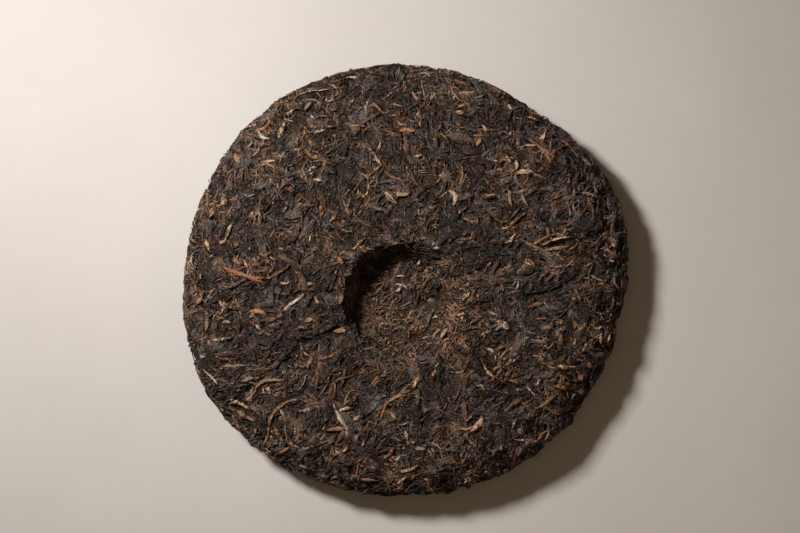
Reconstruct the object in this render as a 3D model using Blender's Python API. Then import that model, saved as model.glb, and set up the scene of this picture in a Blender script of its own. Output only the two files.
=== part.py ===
"""A raw pu-erh tea cake: a disc of pressed tea leaves, lying with its dimpled back up.

The body is a stack of rings from the dimple out over the rim and in under the front. The largest
leaf strands and stems are fused on where they stand out of the mat. Metres, +Z up. The origin is
under the middle of the cake, on the surface it lies on. +Y is the photograph's top.
"""

import math
import random

import bmesh
import bpy
import numpy as np
from mathutils import Matrix, Vector, noise
from mathutils.bvhtree import BVHTree

MM = 0.001

# The disc: its mean radius, its height over all, and how high its widest line lies
DISC_RADIUS = 97.7 * MM
CAKE_HEIGHT = 23.0 * MM
WAIST_HEIGHT = 10.5 * MM
# The shoulder rounds off by this power of the radius, so the back stays flat until near the rim
SHOULDER_POWER = 7.5
SHOULDER_ROUNDING = 2.1
# The pressed front is a low dome. The cake rests on a flat spot that is cut this far into it.
DOME_POWER = 2.6
DOME_ROUNDING = 2.0
REST_CUT = 0.35 * MM

# The outline's slow waves: how many lobes, how far out they reach, and where the first one points
OUTLINE_WAVES = (
    (1, 1.3 * MM, 190),
    (2, 1.8 * MM, 13),
    (3, 0.8 * MM, 0),
    (4, 1.2 * MM, 28),
    (5, 0.45 * MM, 15),
    (6, 0.5 * MM, 19),
)
# Bites out of the rim: direction in degrees, half width in degrees, depth
RIM_BITES = (
    (51, 7, 1.1 * MM),
    (273, 3, 0.8 * MM),
    (301, 5, 0.5 * MM),
    (324, 4, 0.9 * MM),
    (332, 3, 0.9 * MM),
    (349, 3, 1.1 * MM),
    (355, 2, 0.9 * MM),
)

# The dimple that the cloth's knot left: steep towards the upper left, a ramp towards the lower right
DIMPLE_CENTRE = Vector((-2.3 * MM, -10.4 * MM))
DIMPLE_DEPTH = 11.0 * MM
DIMPLE_RADIUS = 26.0 * MM
DIMPLE_RAMP_RADIUS = 33.0 * MM
DIMPLE_WALL = 6.0 * MM
DIMPLE_RAMP = 29.0 * MM
STEEP_SIDE = math.radians(142)
# How much of the way round the dimple's wall is steep: 1 is half, and more than 1 is wider
STEEP_REACH = 1.15

# Creases that the gathered cloth pressed into the back, fanning out from the dimple:
# direction in degrees, depth, half width, and how far out they run
CREASES = (
    (173, 0.8 * MM, 1.7 * MM, 62 * MM),
    (190, 0.7 * MM, 2.0 * MM, 88 * MM),
    (211, 1.3 * MM, 3.2 * MM, 74 * MM),
    (238, 0.5 * MM, 2.5 * MM, 60 * MM),
    (292, 0.6 * MM, 2.6 * MM, 64 * MM),
    (332, 0.6 * MM, 2.4 * MM, 70 * MM),
    (6, 0.9 * MM, 2.0 * MM, 84 * MM),
    (18, 0.9 * MM, 2.2 * MM, 88 * MM),
    (62, 0.5 * MM, 2.4 * MM, 78 * MM),
    (118, 0.5 * MM, 2.4 * MM, 72 * MM),
)
# A crease starts this share of the dimple's radius out, and dies away over this share of its reach
CREASE_START = 0.5
CREASE_END = 0.4

# Unevenness of the pressed mat: broad swells, leaf-sized bumps, and the looser right-hand rim
SWELL_HEIGHT = 0.5 * MM
SWELL_LENGTH = 34.0 * MM
BUMP_HEIGHT = 0.75 * MM
BUMP_LENGTH = 4.2 * MM
CRUMBLE_HEIGHT = 1.2 * MM
CRUMBLE_LENGTH = 6.0 * MM
CRUMBLE_SIDE = math.radians(-8)
# The crumbling starts at this share of the radius, is full this much further out, and keeps this
# share of its height on the tight side of the cake
CRUMBLE_START = 0.82
CRUMBLE_GROWS = 0.14
CRUMBLE_LEAST = 0.35
# The unevenness fades out between these heights, so that the cake lies flat
EVEN_BELOW = 0.5 * MM
UNEVEN_FROM = 3.5 * MM
# Shifts that keep the three kinds of unevenness from running alike
BUMP_SHIFT = Vector((7, 3, 5))
CRUMBLE_SHIFT = Vector((2, 9, 4))

# The strands that stand out in the photograph: where each starts, the way it heads in degrees,
# its length, how many degrees it bends and its width. Places and sizes are in millimetres.
SHOWN_STRANDS = (
    (-81.2, 4.9, -22, 22.5, 44, 1.7),
    (-55.2, -15.2, 38, 16.6, -8, 2.0),
    (-74.4, 24.7, 222, 12.0, 45, 1.8),
    (22.4, 36.8, -70, 11.7, -95, 2.0),
    (17.5, 52.5, -75, 13.0, -70, 2.0),
    (43.0, 19.3, 25, 16.0, -15, 1.8),
    (57.4, 12.1, 35, 19.0, -35, 2.0),
    (47.1, 45.7, -12, 12.0, 25, 2.0),
    (-53.4, 69.1, -60, 9.0, -60, 2.8),
    (-35.0, 66.8, 0, 18.0, 6, 1.6),
    (-17.9, 57.8, -25, 10.0, -40, 1.8),
    (-49.3, 84.7, 22, 26.0, -8, 1.8),
    (-88.3, 19.7, -92, 10.0, 5, 2.0),
    (-92.8, -39.5, -62, 10.5, 15, 2.0),
    (-30.9, -54.3, -68, 13.0, 10, 1.8),
    (-79.8, -56.5, -35, 14.0, 5, 2.2),
    (-58.3, -66.4, -55, 17.0, 35, 2.6),
    (-61.0, -63.7, 60, 16.0, -70, 1.7),
    (35.0, -15.7, -5, 12.0, -45, 2.3),
    (31.8, -37.2, -60, 16.0, 22, 2.0),
    (59.6, -36.3, -42, 18.0, 62, 1.8),
    (65.0, -48.0, -2, 9.5, 0, 2.0),
    (25.1, -66.8, -8, 11.0, 55, 2.1),
)
# The other large strands are drawn at random, spread evenly over the whole cake
STRAND_COUNT = 185
STRAND_SEED = 357
STRAND_LENGTHS = (11.0 * MM, 21.0 * MM)
STRAND_WIDTHS = (1.8 * MM, 2.8 * MM)
STRAND_BEND = math.radians(65)
STRAND_STATIONS = 3
# How far a strand stands out of the mat and reaches into it, and where its edges and tips lie
STRAND_TALL = 1.1 * MM
STRAND_DEEP = 1.2 * MM
STRAND_EDGE = -0.15 * MM
STRAND_TIP = -0.3 * MM
# A strand is this share of its full width where it starts to taper
STRAND_NARROW = 0.75
# A strand is left out where it would bridge a hollow, or reach under the cake
LEAST_TURN = math.cos(math.radians(24))
UNDERSIDE_CLEAR = 1.3 * MM

# The body's rings: they crowd where the profile bends, and flat stretches then get larger faces
RING_POINTS = 150
BACK_RINGS = 44
FRONT_RINGS = 20
PROFILE_POINTS = 600
BEND_WEIGHT = 0.75
BODY_KEEP = 0.26

LEAF_BROWN = (0.045, 0.028, 0.018, 1.0)
LEAF_ROUGHNESS = 0.62


def clear_scene():
    for obj in list(bpy.data.objects):
        bpy.data.objects.remove(obj, do_unlink=True)


def smooth_step(share):
    share = min(max(share, 0.0), 1.0)
    return share * share * (3.0 - 2.0 * share)


def outline_radius(angle):
    """How far the rim is from the middle in this direction."""
    radius = DISC_RADIUS
    for lobes, reach, first in OUTLINE_WAVES:
        radius += reach * math.cos(lobes * (angle - math.radians(first)))
    for direction, half_width, depth in RIM_BITES:
        away = math.remainder(angle - math.radians(direction), math.tau)
        radius -= depth * math.exp(-((away / math.radians(half_width)) ** 2))
    return radius


def dimple_depth(x, y):
    """How far the knot pressed the back in at this place."""
    from_centre = Vector((x, y)) - DIMPLE_CENTRE
    side = math.atan2(from_centre.y, from_centre.x) - STEEP_SIDE
    steepness = smooth_step(STEEP_REACH * (0.5 + 0.5 * math.cos(side)))
    rim = DIMPLE_RAMP_RADIUS + (DIMPLE_RADIUS - DIMPLE_RAMP_RADIUS) * steepness
    wall = DIMPLE_RAMP + (DIMPLE_WALL - DIMPLE_RAMP) * steepness
    return DIMPLE_DEPTH * smooth_step((rim - from_centre.length) / wall)


def crease_depth(x, y):
    """How deep the creases of the cloth are at this place."""
    from_centre = Vector((x, y)) - DIMPLE_CENTRE
    depth = 0.0
    for direction, deepest, half_width, reach in CREASES:
        along = Vector((math.cos(math.radians(direction)), math.sin(math.radians(direction))))
        ahead = from_centre.dot(along)
        if ahead <= 0 or ahead > reach:
            continue
        aside = (from_centre - ahead * along).length / half_width
        fade = smooth_step(ahead / DIMPLE_RADIUS - CREASE_START)
        fade *= smooth_step((1.0 - ahead / reach) / CREASE_END)
        depth += deepest * fade * math.exp(-aside * aside)
    return depth


def back_height(x, y):
    """Height of the dimpled back over the surface that the cake lies on."""
    share = math.hypot(x, y) / outline_radius(math.atan2(y, x))
    rounding = max(0.0, 1.0 - share**SHOULDER_POWER) ** (1.0 / SHOULDER_ROUNDING)
    height = WAIST_HEIGHT + (CAKE_HEIGHT - WAIST_HEIGHT) * rounding
    return height - dimple_depth(x, y) - crease_depth(x, y) * rounding


def front_height(share):
    """Height of the domed front at this share of the radius, below zero where it is cut flat."""
    rounding = max(0.0, 1.0 - share**DOME_POWER) ** (1.0 / DOME_ROUNDING)
    return WAIST_HEIGHT - (WAIST_HEIGHT + REST_CUT) * rounding


def row_spacing(height_of):
    """How far along a profile each share of the radius is, counting its length and its bends."""
    shares = np.sin(np.linspace(0.0, math.pi / 2, PROFILE_POINTS))
    heights = np.array([height_of(share) for share in shares])
    across, up = np.diff(shares) * DISC_RADIUS, np.diff(heights)
    lengths = np.hypot(across, up)
    turns = np.abs(np.diff(np.arctan2(up, across), prepend=0.0))
    steps = lengths / lengths.sum() + BEND_WEIGHT * turns / turns.sum()
    run = np.concatenate(([0.0], np.cumsum(steps)))
    return run / run[-1], shares


def waist_place(angle):
    return outline_radius(angle) * Vector((math.cos(angle), math.sin(angle)))


def on_back(share, angle):
    """A place on the back, at this share of the way from the dimple's middle to the waist."""
    place = DIMPLE_CENTRE.lerp(waist_place(angle), share)
    return Vector((place.x, place.y, back_height(place.x, place.y)))


def on_front(share, angle):
    """A place on the front, at this share of the way from its middle to the waist."""
    place = waist_place(angle) * share
    return Vector((place.x, place.y, front_height(share)))


def steep_profile(share):
    """The back's height from the dimple's middle out towards its steep side."""
    place = DIMPLE_CENTRE.lerp(waist_place(STEEP_SIDE), share)
    return back_height(place.x, place.y)


def unevenness(place):
    """How far the mat stands out from its mean surface here. It fades round the flat spot."""
    swell = SWELL_HEIGHT * noise.noise(place / SWELL_LENGTH)
    bumps = BUMP_HEIGHT * noise.noise(place / BUMP_LENGTH + BUMP_SHIFT)
    share = math.hypot(place.x, place.y) / DISC_RADIUS
    toward = 0.5 + 0.5 * math.cos(math.atan2(place.y, place.x) - CRUMBLE_SIDE)
    loose = smooth_step((share - CRUMBLE_START) / CRUMBLE_GROWS)
    loose *= CRUMBLE_LEAST + (1.0 - CRUMBLE_LEAST) * toward
    crumble = CRUMBLE_HEIGHT * loose * noise.noise(place / CRUMBLE_LENGTH + CRUMBLE_SHIFT)
    above = smooth_step((place.z - EVEN_BELOW) / (UNEVEN_FROM - EVEN_BELOW))
    return (swell + bumps + crumble) * above


def ring_shares(height_of, count):
    """Shares of the radius for this many rings, out to and with the waist."""
    run, shares = row_spacing(height_of)
    return np.interp(np.linspace(0.0, 1.0, count + 1)[1:], run, shares)


def make_body():
    """The pressed disc as one closed mesh."""
    shape = bmesh.new()
    angles = [math.tau * k / RING_POINTS for k in range(RING_POINTS)]
    back = [(on_back, share) for share in ring_shares(steep_profile, BACK_RINGS)]
    front = [(on_front, share) for share in ring_shares(front_height, FRONT_RINGS)[-2::-1]]
    rings = [[shape.verts.new(side(share, angle)) for angle in angles] for side, share in back + front]
    for high, low in zip(rings, rings[1:]):
        for k in range(RING_POINTS):
            after = (k + 1) % RING_POINTS
            shape.faces.new((high[k], low[k], low[after], high[after]))
    for pole, ring in ((on_back(0.0, 0.0), rings[0]), (on_front(0.0, 0.0), rings[-1])):
        middle = shape.verts.new(pole)
        for k in range(RING_POINTS):
            shape.faces.new((middle, ring[k], ring[(k + 1) % RING_POINTS]))
    bmesh.ops.recalc_face_normals(shape, faces=shape.faces)
    shape.normal_update()
    moves = [vertex.normal * unevenness(vertex.co) for vertex in shape.verts]
    for vertex, move in zip(shape.verts, moves):
        vertex.co += move
    return shape


def thin_out(body):
    """Merges the small faces of the body's flatter stretches."""
    collapse = body.modifiers.new("larger_faces", "DECIMATE")
    collapse.ratio = BODY_KEEP
    graph = bpy.context.evaluated_depsgraph_get()
    thinned = bpy.data.meshes.new_from_object(body.evaluated_get(graph))
    body.modifiers.clear()
    body.data = thinned


def spread_places(count):
    """Places spread evenly over the back, the rim and the front, along a spiral."""
    golden = math.pi * (3.0 - math.sqrt(5.0))
    for index in range(count):
        layer = 2.0 * (index + 0.5) / count
        if layer < 1.0:
            yield on_back(math.sqrt(layer), golden * index)
        else:
            yield on_front(math.sqrt(2.0 - layer), golden * index)


def flat_on(normal, direction):
    """The direction laid flat on the surface that has this normal."""
    return (direction - normal * direction.dot(normal)).normalized()


def strand_route(surface, start, heading, length, bend):
    """Places, outward normals and directions of a strand that lies along the surface."""
    place, normal, _, _ = surface.find_nearest(start)
    level = Vector((1, 0, 0)) if abs(normal.x) < 0.8 else Vector((0, 1, 0))
    ahead = Matrix.Rotation(heading, 3, normal) @ flat_on(normal, level)
    spans = STRAND_STATIONS + 1
    route = [(place, normal, ahead)]
    for _ in range(spans):
        place, normal, _, _ = surface.find_nearest(place + ahead * (length / spans))
        ahead = flat_on(normal, Matrix.Rotation(bend / spans, 3, normal) @ ahead)
        route.append((place, normal, ahead))
    return route


def lies_well(route):
    """True if the strand follows the surface and stays off what the cake lies on."""
    turns = (low[1].dot(high[1]) for low, high in zip(route, route[1:]))
    return min(turns) > LEAST_TURN and min(place.z for place, _, _ in route) > UNDERSIDE_CLEAR


def strand_mesh(route, width):
    """A pointed strand with a ridge along its top, sunk into the mat below."""
    shape = bmesh.new()
    rings = []
    last = len(route) - 1
    for index, (place, normal, ahead) in enumerate(route):
        across = normal.cross(ahead).normalized()
        if index in (0, last):
            rings.append([shape.verts.new(place + normal * STRAND_TIP)])
            continue
        fullness = STRAND_NARROW + (1.0 - STRAND_NARROW) * math.sin(math.pi * index / last)
        half = 0.5 * width * fullness
        corners = (
            place + across * half + normal * STRAND_EDGE,
            place + normal * STRAND_TALL,
            place - across * half + normal * STRAND_EDGE,
            place - normal * STRAND_DEEP,
        )
        rings.append([shape.verts.new(corner) for corner in corners])
    for low, high in zip(rings, rings[1:]):
        for k in range(4):
            after = k + 1
            quad = (low[k % len(low)], low[after % len(low)], high[after % len(high)], high[k % len(high)])
            shape.faces.new(list(dict.fromkeys(quad)))
    bmesh.ops.recalc_face_normals(shape, faces=shape.faces)
    return shape


def make_strands(surface):
    """The strands of the photograph, and the other large ones."""
    for x, y, heading, length, bend, width in SHOWN_STRANDS:
        start = Vector((x * MM, y * MM, back_height(x * MM, y * MM)))
        route = strand_route(surface, start, math.radians(heading), length * MM, math.radians(bend))
        yield strand_mesh(route, width * MM)
    draw = random.Random(STRAND_SEED)
    for start in spread_places(STRAND_COUNT):
        heading = draw.uniform(0.0, math.tau)
        length = draw.uniform(*STRAND_LENGTHS)
        width = draw.uniform(*STRAND_WIDTHS)
        bend = draw.uniform(-STRAND_BEND, STRAND_BEND)
        route = strand_route(surface, start, heading, length, bend)
        if lies_well(route):
            yield strand_mesh(route, width)


def as_object(name, shape, collection):
    mesh = bpy.data.meshes.new(name)
    shape.to_mesh(mesh)
    shape.free()
    obj = bpy.data.objects.new(name, mesh)
    collection.objects.link(obj)
    return obj


def leaf_material():
    material = bpy.data.materials.new("pressed_tea")
    material.use_nodes = True
    shader = material.node_tree.nodes["Principled BSDF"]
    shader.inputs["Base Color"].default_value = LEAF_BROWN
    shader.inputs["Roughness"].default_value = LEAF_ROUGHNESS
    shader.inputs["Metallic"].default_value = 0.0
    return material


def fuse(body, strands):
    """Joins the strands to the body with one Boolean union, and removes them."""
    union = body.modifiers.new("fuse_strands", "BOOLEAN")
    union.operation = "UNION"
    union.operand_type = "COLLECTION"
    union.collection = strands
    union.solver = "EXACT"
    graph = bpy.context.evaluated_depsgraph_get()
    fused = bpy.data.meshes.new_from_object(body.evaluated_get(graph))
    body.modifiers.clear()
    body.data = fused
    for obj in list(strands.objects):
        bpy.data.objects.remove(obj, do_unlink=True)
    bpy.data.collections.remove(strands)


def cut_flat(body):
    """Cuts the flat spot that the cake rests on, and closes it."""
    shape = bmesh.new()
    shape.from_mesh(body.data)
    everything = shape.verts[:] + shape.edges[:] + shape.faces[:]
    cut = bmesh.ops.bisect_plane(
        shape, geom=everything, plane_co=(0, 0, 0), plane_no=(0, 0, 1), clear_inner=True
    )
    edges = [item for item in cut["geom_cut"] if isinstance(item, bmesh.types.BMEdge)]
    bmesh.ops.holes_fill(shape, edges=edges, sides=0)
    shape.to_mesh(body.data)
    shape.free()


def connected_faces(first):
    """All the faces that can be reached from this one over shared edges."""
    found = {first}
    waiting = [first]
    while waiting:
        for edge in waiting.pop().edges:
            beyond = [face for face in edge.link_faces if face not in found]
            found.update(beyond)
            waiting.extend(beyond)
    return found


def keep_outer_shell(body):
    """Fills what the union sealed in and drops its loose scraps, by keeping the largest shell."""
    shape = bmesh.new()
    shape.from_mesh(body.data)
    unsorted = set(shape.faces)
    shells = []
    while unsorted:
        shells.append(connected_faces(next(iter(unsorted))))
        unsorted -= shells[-1]
    outer = max(shells, key=len)
    scraps = [face for face in shape.faces if face not in outer]
    bmesh.ops.delete(shape, geom=scraps, context="FACES")
    shape.to_mesh(body.data)
    shape.free()


def build():
    clear_scene()
    scene_objects = bpy.context.scene.collection
    body = as_object("tea_cake", make_body(), scene_objects)
    thin_out(body)
    surface = BVHTree.FromObject(body, bpy.context.evaluated_depsgraph_get())
    strands = bpy.data.collections.new("strands")
    scene_objects.children.link(strands)
    for index, shape in enumerate(make_strands(surface)):
        as_object(f"strand_{index}", shape, strands)
    fuse(body, strands)
    cut_flat(body)
    keep_outer_shell(body)
    body.data.materials.clear()
    body.data.materials.append(leaf_material())


build()
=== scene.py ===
"""The looks of the raw pu-erh tea cake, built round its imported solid.

A fine core takes the solid's place. Thousands of twisted leaves, buds, stems and broken flakes are
laid on it as real meshes, one piece for each kind. Metres, +Z up; +Y is the photograph's top.
"""

import math

import bpy
import numpy as np
from mathutils import Matrix, Vector, noise
from mathutils.bvhtree import BVHTree


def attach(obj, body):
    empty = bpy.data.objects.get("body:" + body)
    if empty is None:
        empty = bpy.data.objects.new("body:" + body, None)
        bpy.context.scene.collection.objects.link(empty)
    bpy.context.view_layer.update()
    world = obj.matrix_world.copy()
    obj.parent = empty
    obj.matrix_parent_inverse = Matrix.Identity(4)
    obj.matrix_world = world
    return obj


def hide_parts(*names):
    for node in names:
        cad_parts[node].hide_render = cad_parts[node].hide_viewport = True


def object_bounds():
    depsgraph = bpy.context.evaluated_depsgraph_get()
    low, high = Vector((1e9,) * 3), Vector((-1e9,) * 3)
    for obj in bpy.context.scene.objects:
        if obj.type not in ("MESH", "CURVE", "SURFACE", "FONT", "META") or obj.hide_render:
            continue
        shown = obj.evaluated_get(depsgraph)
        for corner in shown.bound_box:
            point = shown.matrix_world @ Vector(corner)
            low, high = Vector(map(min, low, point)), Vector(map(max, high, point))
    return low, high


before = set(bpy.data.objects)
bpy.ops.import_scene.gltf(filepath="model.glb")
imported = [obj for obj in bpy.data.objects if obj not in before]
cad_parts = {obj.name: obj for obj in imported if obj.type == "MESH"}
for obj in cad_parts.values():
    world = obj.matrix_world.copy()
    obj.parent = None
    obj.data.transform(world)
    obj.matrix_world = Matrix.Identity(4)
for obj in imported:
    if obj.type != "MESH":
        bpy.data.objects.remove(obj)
SOLID_LOW, SOLID_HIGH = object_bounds()

MM = 0.001

# The disc's form, as the solid has it
DISC_RADIUS = 97.7 * MM
CAKE_HEIGHT = 23 * MM
WAIST_HEIGHT = 10.5 * MM
SHOULDER_POWER = 7.5
SHOULDER_ROUNDING = 2.1
DOME_POWER = 2.6
DOME_ROUNDING = 2
REST_CUT = 0.35 * MM

# The outline's slow waves: lobes, reach in millimetres, and where the first one points in degrees
OUTLINE_WAVES = ((1, 1.3, 190), (2, 1.8, 13), (3, 0.8, 0), (4, 1.2, 28), (5, 0.45, 15), (6, 0.5, 19))
# Bites out of the rim: direction and half width in degrees, depth in millimetres
RIM_BITES = (
    (51, 7, 1.1), (273, 3, 0.8), (301, 5, 0.5), (324, 4, 0.9), (332, 3, 0.9), (349, 3, 1.1), (355, 2, 0.9),
)

# The dimple that the cloth's knot left: steep towards the upper left, a ramp towards the lower right
DIMPLE_CENTRE = np.array((-2.3 * MM, -10.4 * MM))
DIMPLE_DEPTH = 11 * MM
DIMPLE_RADIUS = 26 * MM
DIMPLE_RAMP_RADIUS = 33 * MM
DIMPLE_WALL = 6 * MM
DIMPLE_RAMP = 29 * MM
STEEP_SIDE = math.radians(142)
STEEP_REACH = 1.15

# Creases of the gathered cloth: direction in degrees, then depth, half width and how far out they
# run in millimetres
CREASES = (
    (173, 0.8, 1.7, 62), (190, 0.7, 2, 88), (211, 1.3, 3.2, 74), (238, 0.5, 2.5, 60), (292, 0.6, 2.6, 64),
    (332, 0.6, 2.4, 70), (6, 0.9, 2, 84), (18, 0.9, 2.2, 88), (62, 0.5, 2.4, 78), (118, 0.5, 2.4, 72),
)
CREASE_START = 0.5
CREASE_END = 0.4

# Unevenness of the pressed mat, with a looser rim on the right
SWELL_HEIGHT = 0.5 * MM
SWELL_LENGTH = 34 * MM
BUMP_HEIGHT = 0.75 * MM
BUMP_LENGTH = 4.2 * MM
CRUMBLE_HEIGHT = 1.2 * MM
CRUMBLE_LENGTH = 6 * MM
CRUMBLE_SIDE = math.radians(-8)
CRUMBLE_START = 0.82
CRUMBLE_GROWS = 0.14
CRUMBLE_LEAST = 0.35
EVEN_BELOW = 0.5 * MM
UNEVEN_FROM = 3.5 * MM
BUMP_SHIFT = Vector((7, 3, 5))
CRUMBLE_SHIFT = Vector((2, 9, 4))

# The core's mesh, and how far it lies under the mat's surface
RING_POINTS = 240
BACK_RINGS = 66
FRONT_RINGS = 34
PROFILE_POINTS = 600
BEND_WEIGHT = 0.35
CORE_INSET = 0.6 * MM
CORE_RELIEF = 0.4 * MM
CORE_RELIEF_LENGTH = 3 * MM

LEAF_SEED = 357


def smooth_step(share):
    share = np.clip(share, 0, 1)
    return share * share * (3 - 2 * share)


def outline_radius(angle):
    """How far the rim is from the middle in each direction."""
    radius = np.full_like(angle, DISC_RADIUS)
    for lobes, reach, first in OUTLINE_WAVES:
        radius += reach * MM * np.cos(lobes * (angle - math.radians(first)))
    for direction, half_width, depth in RIM_BITES:
        away = (angle - math.radians(direction) + math.pi) % math.tau - math.pi
        radius -= depth * MM * np.exp(-((away / math.radians(half_width)) ** 2))
    return radius


def dimple_depth(x, y):
    """How far the knot pressed the back in at each place."""
    x, y = x - DIMPLE_CENTRE[0], y - DIMPLE_CENTRE[1]
    side = np.arctan2(y, x) - STEEP_SIDE
    steepness = smooth_step(STEEP_REACH * (0.5 + 0.5 * np.cos(side)))
    rim = DIMPLE_RAMP_RADIUS + (DIMPLE_RADIUS - DIMPLE_RAMP_RADIUS) * steepness
    wall = DIMPLE_RAMP + (DIMPLE_WALL - DIMPLE_RAMP) * steepness
    return DIMPLE_DEPTH * smooth_step((rim - np.hypot(x, y)) / wall)


def crease_depth(x, y):
    """How deep the creases of the cloth are at each place."""
    x, y = x - DIMPLE_CENTRE[0], y - DIMPLE_CENTRE[1]
    depth = np.zeros_like(x)
    for direction, deepest, half_width, reach in CREASES:
        right, up = math.cos(math.radians(direction)), math.sin(math.radians(direction))
        ahead = x * right + y * up
        aside = (x * up - y * right) / (half_width * MM)
        fade = smooth_step(ahead / DIMPLE_RADIUS - CREASE_START)
        fade *= smooth_step((1 - ahead / (reach * MM)) / CREASE_END)
        depth += deepest * MM * fade * np.exp(-aside * aside)
    return depth


def back_height(x, y):
    """Height of the dimpled back over the surface that the cake lies on."""
    share = np.hypot(x, y) / outline_radius(np.arctan2(y, x))
    rounding = np.maximum(0, 1 - share**SHOULDER_POWER) ** (1 / SHOULDER_ROUNDING)
    height = WAIST_HEIGHT + (CAKE_HEIGHT - WAIST_HEIGHT) * rounding
    return height - dimple_depth(x, y) - crease_depth(x, y) * rounding


def front_height(share):
    """Height of the domed front at this share of the radius."""
    rounding = np.maximum(0, 1 - share**DOME_POWER) ** (1 / DOME_ROUNDING)
    return WAIST_HEIGHT - (WAIST_HEIGHT + REST_CUT) * rounding


def waist_places(angles):
    return outline_radius(angles)[:, None] * np.stack((np.cos(angles), np.sin(angles)), axis=1)


def back_ring(share, angles):
    """Places on the back, at this share of the way from the dimple's middle to the waist."""
    flat = DIMPLE_CENTRE + (waist_places(angles) - DIMPLE_CENTRE) * share
    return np.column_stack((flat, back_height(flat[:, 0], flat[:, 1])))


def front_ring(share, angles):
    """Places on the front, at this share of the way from its middle to the waist."""
    flat = waist_places(angles) * share
    return np.column_stack((flat, np.full(len(angles), front_height(share))))


def ring_shares(height_of, count):
    """Shares of the radius for this many rings, crowded where the profile bends."""
    shares = np.sin(np.linspace(0, math.pi / 2, PROFILE_POINTS))
    heights = np.array([height_of(share) for share in shares])
    across, up = np.diff(shares) * DISC_RADIUS, np.diff(heights)
    lengths = np.hypot(across, up)
    turns = np.abs(np.diff(np.arctan2(up, across), prepend=0))
    steps = lengths / lengths.sum() + BEND_WEIGHT * turns / turns.sum()
    run = np.concatenate(([0], np.cumsum(steps)))
    return np.interp(np.linspace(0, 1, count + 1)[1:], run / run[-1], shares)


def noise_at(places, length, shift=Vector()):
    """Smooth noise at each place, from about -1 to 1, with bumps of this length."""
    return np.array([noise.noise(Vector(place) / length + shift) for place in places.tolist()])


def looseness(places):
    """How loose the mat is at each place: 1 at the crumbly side of the rim, 0 where it is pressed."""
    share = np.hypot(places[..., 0], places[..., 1]) / DISC_RADIUS
    toward = 0.5 + 0.5 * np.cos(np.arctan2(places[..., 1], places[..., 0]) - CRUMBLE_SIDE)
    loose = smooth_step((share - CRUMBLE_START) / CRUMBLE_GROWS)
    return loose * (CRUMBLE_LEAST + (1 - CRUMBLE_LEAST) * toward)


def unevenness(places):
    """How far the mat stands out from its mean surface at each place."""
    swell = SWELL_HEIGHT * noise_at(places, SWELL_LENGTH)
    bumps = BUMP_HEIGHT * noise_at(places, BUMP_LENGTH, BUMP_SHIFT)
    crumble = CRUMBLE_HEIGHT * looseness(places) * noise_at(places, CRUMBLE_LENGTH, CRUMBLE_SHIFT)
    above = smooth_step((places[:, 2] - EVEN_BELOW) / (UNEVEN_FROM - EVEN_BELOW))
    return (swell + bumps + crumble) * above


def mat_surface():
    """Rings of places over the whole cake with their outward normals, each (rings, points, 3)."""
    angles = np.arange(RING_POINTS) * math.tau / RING_POINTS
    steep_waist = waist_places(np.array([STEEP_SIDE]))[0]

    def steep_profile(share):
        place = DIMPLE_CENTRE + (steep_waist - DIMPLE_CENTRE) * share
        return float(back_height(*place.reshape(2, 1))[0])

    back = [back_ring(share, angles) for share in ring_shares(steep_profile, BACK_RINGS)]
    front = [front_ring(share, angles) for share in ring_shares(front_height, FRONT_RINGS)[-2::-1]]
    rings = np.array(back + front)
    around = np.roll(rings, -1, axis=1) - np.roll(rings, 1, axis=1)
    normals = np.cross(np.gradient(rings, axis=0), around)
    normals /= np.linalg.norm(normals, axis=2, keepdims=True)
    moves = unevenness(rings.reshape(-1, 3)).reshape(len(rings), RING_POINTS, 1)
    return rings + normals * moves, normals


def ring_mesh(name, rings):
    """One closed mesh over a stack of rings, with a vertex in the middle of the first and the last."""
    count = len(rings)
    index = np.arange(count * RING_POINTS).reshape(count, RING_POINTS)
    beside = np.roll(index, -1, axis=1)
    quads = np.stack((index[:-1], index[1:], beside[1:], beside[:-1]), axis=-1).reshape(-1, 4)
    poles = np.array((rings[0].mean(axis=0), rings[-1].mean(axis=0)))
    first, last = count * RING_POINTS, count * RING_POINTS + 1
    top = np.column_stack((np.full(RING_POINTS, first), index[0], beside[0]))
    bottom = np.column_stack((np.full(RING_POINTS, last), beside[-1], index[-1]))
    places = np.concatenate((rings.reshape(-1, 3), poles))
    mesh = bpy.data.meshes.new(name)
    fill_mesh(mesh, places, quads, np.concatenate((top, bottom)))
    return mesh


def fill_mesh(mesh, places, quads, triangles):
    """Writes vertices, quads and triangles into an empty mesh, and shades it smooth."""
    corners = np.concatenate((quads.ravel(), triangles.ravel())).astype(np.int32)
    sizes = np.concatenate((np.full(len(quads), 4), np.full(len(triangles), 3)))
    starts = np.concatenate(([0], np.cumsum(sizes)[:-1])).astype(np.int32)
    mesh.vertices.add(len(places))
    mesh.vertices.foreach_set("co", places.astype(np.float32).ravel())
    mesh.loops.add(len(corners))
    mesh.loops.foreach_set("vertex_index", corners)
    mesh.polygons.add(len(sizes))
    mesh.polygons.foreach_set("loop_start", starts)
    mesh.update(calc_edges=True)
    mesh.validate()
    mesh.shade_smooth()


def placed(name, data):
    """A new object in the scene."""
    made = bpy.data.objects.new(name, data)
    bpy.context.scene.collection.objects.link(made)
    return made


def as_piece(name, mesh, material):
    """An object that belongs to the cake and takes the given material."""
    piece = placed(name, mesh)
    piece.data.materials.append(material)
    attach(piece, "root")
    return piece


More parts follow.
